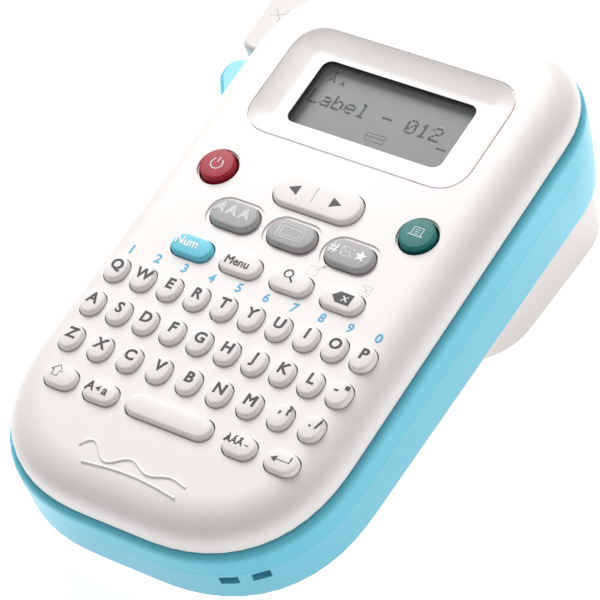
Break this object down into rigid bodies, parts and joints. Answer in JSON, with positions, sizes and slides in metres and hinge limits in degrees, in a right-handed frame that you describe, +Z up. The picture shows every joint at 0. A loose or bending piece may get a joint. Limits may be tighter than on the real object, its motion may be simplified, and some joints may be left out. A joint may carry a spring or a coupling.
{
  "type": "label maker",
  "caption": "Handheld label maker with a typing keyboard, a small display, round power and print keys, a cutter lever and a tape bay in its rear bulge.",
  "frame": {"origin": "centre of the bounding box, on the surface the label maker stands on", "axes": "+Z up, -Y towards the user's edge (space bar end), +Y towards the tape bulge, +X to the right of the keyboard"},
  "size_m": [0.1226, 0.1999, 0.0607],
  "materials": {
    "white_shell": "satin",
    "cyan_shell": "satin",
    "cover_shell": "fine texture",
    "window": "clear",
    "lcd": "matte",
    "board": "solder mask",
    "mat": "matte",
    "white_key": "satin",
    "grey_key": "satin",
    "cyan_key": "satin",
    "red_key": "satin",
    "green_key": "satin",
    "cassette": "fine texture",
    "tape": "satin",
    "roller": "matte",
    "head": "satin",
    "steel": "ground",
    "cell": "printed film"
  },
  "bodies": {
    "case": {"top_cover": "white_shell", "middle_frame": "cyan_shell", "lower_case": "cyan_shell", "exit_guard": "cover_shell", "display_window": "window", "display_panel": "lcd", "circuit_board": "board", "key_mat": "mat", "print_head": "head", "battery_cells": "cell"},
    "cover": {"rear_cover": "cover_shell"},
    "lever": {"cutter_lever": "cyan_shell"},
    "blade": {"cutter_blade": "steel"},
    "cassette": {"tape_cassette": "cassette"},
    "spool": {"tape_spool": "tape"},
    "platen": {"platen_roller": "roller"},
    "q_key": {"key_q": "white_key"},
    "w_key": {"key_w": "white_key"},
    "e_key": {"key_e": "white_key"},
    "r_key": {"key_r": "white_key"},
    "t_key": {"key_t": "white_key"},
    "y_key": {"key_y": "white_key"},
    "u_key": {"key_u": "white_key"},
    "i_key": {"key_i": "white_key"},
    "o_key": {"key_o": "white_key"},
    "p_key": {"key_p": "white_key"},
    "a_key": {"key_a": "white_key"},
    "s_key": {"key_s": "white_key"},
    "d_key": {"key_d": "white_key"},
    "f_key": {"key_f": "white_key"},
    "g_key": {"key_g": "white_key"},
    "h_key": {"key_h": "white_key"},
    "j_key": {"key_j": "white_key"},
    "k_key": {"key_k": "white_key"},
    "l_key": {"key_l": "white_key"},
    "dash_key": {"key_dash": "white_key"},
    "z_key": {"key_z": "white_key"},
    "x_key": {"key_x": "white_key"},
    "c_key": {"key_c": "white_key"},
    "v_key": {"key_v": "white_key"},
    "b_key": {"key_b": "white_key"},
    "n_key": {"key_n": "white_key"},
    "m_key": {"key_m": "white_key"},
    "comma_key": {"key_comma": "white_key"},
    "period_key": {"key_period": "white_key"},
    "shift_key": {"key_shift": "white_key"},
    "caps_key": {"key_caps": "white_key"},
    "space_key": {"key_space": "white_key"},
    "accent_key": {"key_accent": "white_key"},
    "enter_key": {"key_enter": "white_key"},
    "num_key": {"key_num": "cyan_key"},
    "menu_key": {"key_menu": "white_key"},
    "preview_key": {"key_preview": "white_key"},
    "erase_key": {"key_erase": "white_key"},
    "font_key": {"key_font": "grey_key"},
    "frame_key": {"key_frame": "grey_key"},
    "symbol_key": {"key_symbol": "grey_key"},
    "cursor_key": {"key_cursor": "white_key"},
    "power_key": {"key_power": "red_key"},
    "print_key": {"key_print": "green_key"}
  },
  "joints": [
    {"name": "cover_slide", "type": "slide", "parent": "case", "child": "cover", "axis": [0, 0.134, -0.991], "range_m": [0, 0.03]},
    {"name": "cassette_slide", "type": "slide", "parent": "case", "child": "cassette", "axis": [0, 0.134, -0.991], "range_m": [0, 0.015]},
    {"name": "spool_spin", "type": "hinge", "parent": "cassette", "child": "spool", "pos_m": [0.0133, 0.05988, 0.02291], "axis": [0, -0.134, 0.991], "continuous": true},
    {"name": "platen_spin", "type": "hinge", "parent": "case", "child": "platen", "pos_m": [-0.0377, 0.06483, 0.02358], "axis": [0, -0.134, 0.991], "continuous": true},
    {"name": "lever_press", "type": "hinge", "parent": "case", "child": "lever", "pos_m": [-0.0447, 0.06575, 0.04288], "axis": [0, -0.134, 0.991], "range_deg": [0, 8], "stiffness_Nm_per_rad": 0.06, "springref_deg": -11.46},
    {"name": "blade_slide", "type": "slide", "parent": "case", "child": "blade", "axis": [-1, 0, 0], "range_m": [0, 0.0025]},
    {"name": "q_press", "type": "slide", "parent": "case", "child": "q_key", "axis": [0, -0.134, 0.991], "range_m": [-0.0011, 0], "stiffness_N_per_m": 150, "springref_m": 0.0006},
    {"name": "w_press", "type": "slide", "parent": "case", "child": "w_key", "axis": [0, -0.134, 0.991], "range_m": [-0.0011, 0], "stiffness_N_per_m": 150, "springref_m": 0.0006},
    {"name": "e_press", "type": "slide", "parent": "case", "child": "e_key", "axis": [0, -0.134, 0.991], "range_m": [-0.0011, 0], "stiffness_N_per_m": 150, "springref_m": 0.0006},
    {"name": "r_press", "type": "slide", "parent": "case", "child": "r_key", "axis": [0, -0.134, 0.991], "range_m": [-0.0011, 0], "stiffness_N_per_m": 150, "springref_m": 0.0006},
    {"name": "t_press", "type": "slide", "parent": "case", "child": "t_key", "axis": [0, -0.134, 0.991], "range_m": [-0.0011, 0], "stiffness_N_per_m": 150, "springref_m": 0.0006},
    {"name": "y_press", "type": "slide", "parent": "case", "child": "y_key", "axis": [0, -0.134, 0.991], "range_m": [-0.0011, 0], "stiffness_N_per_m": 150, "springref_m": 0.0006},
    {"name": "u_press", "type": "slide", "parent": "case", "child": "u_key", "axis": [0, -0.134, 0.991], "range_m": [-0.0011, 0], "stiffness_N_per_m": 150, "springref_m": 0.0006},
    {"name": "i_press", "type": "slide", "parent": "case", "child": "i_key", "axis": [0, -0.134, 0.991], "range_m": [-0.0011, 0], "stiffness_N_per_m": 150, "springref_m": 0.0006},
    {"name": "o_press", "type": "slide", "parent": "case", "child": "o_key", "axis": [0, -0.134, 0.991], "range_m": [-0.0011, 0], "stiffness_N_per_m": 150, "springref_m": 0.0006},
    {"name": "p_press", "type": "slide", "parent": "case", "child": "p_key", "axis": [0, -0.134, 0.991], "range_m": [-0.0011, 0], "stiffness_N_per_m": 150, "springref_m": 0.0006},
    {"name": "a_press", "type": "slide", "parent": "case", "child": "a_key", "axis": [0, -0.134, 0.991], "range_m": [-0.0011, 0], "stiffness_N_per_m": 150, "springref_m": 0.0006},
    {"name": "s_press", "type": "slide", "parent": "case", "child": "s_key", "axis": [0, -0.134, 0.991], "range_m": [-0.0011, 0], "stiffness_N_per_m": 150, "springref_m": 0.0006},
    {"name": "d_press", "type": "slide", "parent": "case", "child": "d_key", "axis": [0, -0.134, 0.991], "range_m": [-0.0011, 0], "stiffness_N_per_m": 150, "springref_m": 0.0006},
    {"name": "f_press", "type": "slide", "parent": "case", "child": "f_key", "axis": [0, -0.134, 0.991], "range_m": [-0.0011, 0], "stiffness_N_per_m": 150, "springref_m": 0.0006},
    {"name": "g_press", "type": "slide", "parent": "case", "child": "g_key", "axis": [0, -0.134, 0.991], "range_m": [-0.0011, 0], "stiffness_N_per_m": 150, "springref_m": 0.0006},
    {"name": "h_press", "type": "slide", "parent": "case", "child": "h_key", "axis": [0, -0.134, 0.991], "range_m": [-0.0011, 0], "stiffness_N_per_m": 150, "springref_m": 0.0006},
    {"name": "j_press", "type": "slide", "parent": "case", "child": "j_key", "axis": [0, -0.134, 0.991], "range_m": [-0.0011, 0], "stiffness_N_per_m": 150, "springref_m": 0.0006},
    {"name": "k_press", "type": "slide", "parent": "case", "child": "k_key", "axis": [0, -0.134, 0.991], "range_m": [-0.0011, 0], "stiffness_N_per_m": 150, "springref_m": 0.0006},
    {"name": "l_press", "type": "slide", "parent": "case", "child": "l_key", "axis": [0, -0.134, 0.991], "range_m": [-0.0011, 0], "stiffness_N_per_m": 150, "springref_m": 0.0006},
    {"name": "dash_press", "type": "slide", "parent": "case", "child": "dash_key", "axis": [0, -0.134, 0.991], "range_m": [-0.0011, 0], "stiffness_N_per_m": 150, "springref_m": 0.0006},
    {"name": "z_press", "type": "slide", "parent": "case", "child": "z_key", "axis": [0, -0.134, 0.991], "range_m": [-0.0011, 0], "stiffness_N_per_m": 150, "springref_m": 0.0006},
    {"name": "x_press", "type": "slide", "parent": "case", "child": "x_key", "axis": [0, -0.134, 0.991], "range_m": [-0.0011, 0], "stiffness_N_per_m": 150, "springref_m": 0.0006},
    {"name": "c_press", "type": "slide", "parent": "case", "child": "c_key", "axis": [0, -0.134, 0.991], "range_m": [-0.0011, 0], "stiffness_N_per_m": 150, "springref_m": 0.0006},
    {"name": "v_press", "type": "slide", "parent": "case", "child": "v_key", "axis": [0, -0.134, 0.991], "range_m": [-0.0011, 0], "stiffness_N_per_m": 150, "springref_m": 0.0006},
    {"name": "b_press", "type": "slide", "parent": "case", "child": "b_key", "axis": [0, -0.134, 0.991], "range_m": [-0.0011, 0], "stiffness_N_per_m": 150, "springref_m": 0.0006},
    {"name": "n_press", "type": "slide", "parent": "case", "child": "n_key", "axis": [0, -0.134, 0.991], "range_m": [-0.0011, 0], "stiffness_N_per_m": 150, "springref_m": 0.0006},
    {"name": "m_press", "type": "slide", "parent": "case", "child": "m_key", "axis": [0, -0.134, 0.991], "range_m": [-0.0011, 0], "stiffness_N_per_m": 150, "springref_m": 0.0006},
    {"name": "comma_press", "type": "slide", "parent": "case", "child": "comma_key", "axis": [0, -0.134, 0.991], "range_m": [-0.0011, 0], "stiffness_N_per_m": 150, "springref_m": 0.0006},
    {"name": "period_press", "type": "slide", "parent": "case", "child": "period_key", "axis": [0, -0.134, 0.991], "range_m": [-0.0011, 0], "stiffness_N_per_m": 150, "springref_m": 0.0006},
    {"name": "shift_press", "type": "slide", "parent": "case", "child": "shift_key", "axis": [0, -0.134, 0.991], "range_m": [-0.0011, 0], "stiffness_N_per_m": 150, "springref_m": 0.0006},
    {"name": "caps_press", "type": "slide", "parent": "case", "child": "caps_key", "axis": [0, -0.134, 0.991], "range_m": [-0.0011, 0], "stiffness_N_per_m": 150, "springref_m": 0.0006},
    {"name": "space_press", "type": "slide", "parent": "case", "child": "space_key", "axis": [0, -0.134, 0.991], "range_m": [-0.0011, 0], "stiffness_N_per_m": 150, "springref_m": 0.0006},
    {"name": "accent_press", "type": "slide", "parent": "case", "child": "accent_key", "axis": [0, -0.134, 0.991], "range_m": [-0.0011, 0], "stiffness_N_per_m": 150, "springref_m": 0.0006},
    {"name": "enter_press", "type": "slide", "parent": "case", "child": "enter_key", "axis": [0, -0.134, 0.991], "range_m": [-0.0011, 0], "stiffness_N_per_m": 150, "springref_m": 0.0006},
    {"name": "num_press", "type": "slide", "parent": "case", "child": "num_key", "axis": [0, -0.134, 0.991], "range_m": [-0.0011, 0], "stiffness_N_per_m": 150, "springref_m": 0.0006},
    {"name": "menu_press", "type": "slide", "parent": "case", "child": "menu_key", "axis": [0, -0.134, 0.991], "range_m": [-0.0011, 0], "stiffness_N_per_m": 150, "springref_m": 0.0006},
    {"name": "preview_press", "type": "slide", "parent": "case", "child": "preview_key", "axis": [0, -0.134, 0.991], "range_m": [-0.0011, 0], "stiffness_N_per_m": 150, "springref_m": 0.0006},
    {"name": "erase_press", "type": "slide", "parent": "case", "child": "erase_key", "axis": [0, -0.134, 0.991], "range_m": [-0.0011, 0], "stiffness_N_per_m": 150, "springref_m": 0.0006},
    {"name": "font_press", "type": "slide", "parent": "case", "child": "font_key", "axis": [0, -0.134, 0.991], "range_m": [-0.0011, 0], "stiffness_N_per_m": 150, "springref_m": 0.0006},
    {"name": "frame_press", "type": "slide", "parent": "case", "child": "frame_key", "axis": [0, -0.134, 0.991], "range_m": [-0.0011, 0], "stiffness_N_per_m": 150, "springref_m": 0.0006},
    {"name": "symbol_press", "type": "slide", "parent": "case", "child": "symbol_key", "axis": [0, -0.134, 0.991], "range_m": [-0.0011, 0], "stiffness_N_per_m": 150, "springref_m": 0.0006},
    {"name": "cursor_rock", "type": "hinge", "parent": "case", "child": "cursor_key", "pos_m": [0.0047, 0.01602, 0.04877], "axis": [0, 0.991, 0.134], "range_deg": [-3, 3], "stiffness_Nm_per_rad": 0.02},
    {"name": "power_press", "type": "slide", "parent": "case", "child": "power_key", "axis": [0, -0.134, 0.991], "range_m": [-0.0011, 0], "stiffness_N_per_m": 150, "springref_m": 0.0006},
    {"name": "print_press", "type": "slide", "parent": "case", "child": "print_key", "axis": [0, -0.134, 0.991], "range_m": [-0.0011, 0], "stiffness_N_per_m": 150, "springref_m": 0.0006}
  ],
  "couplings": [
    {"joint": "cassette_slide", "follows": "cover_slide", "ratio": 0.5},
    {"joint": "platen_spin", "follows": "spool_spin", "ratio": -4.5},
    {"joint": "lever_press", "follows": "blade_slide", "rad_per_m": 55.85}
  ]
}
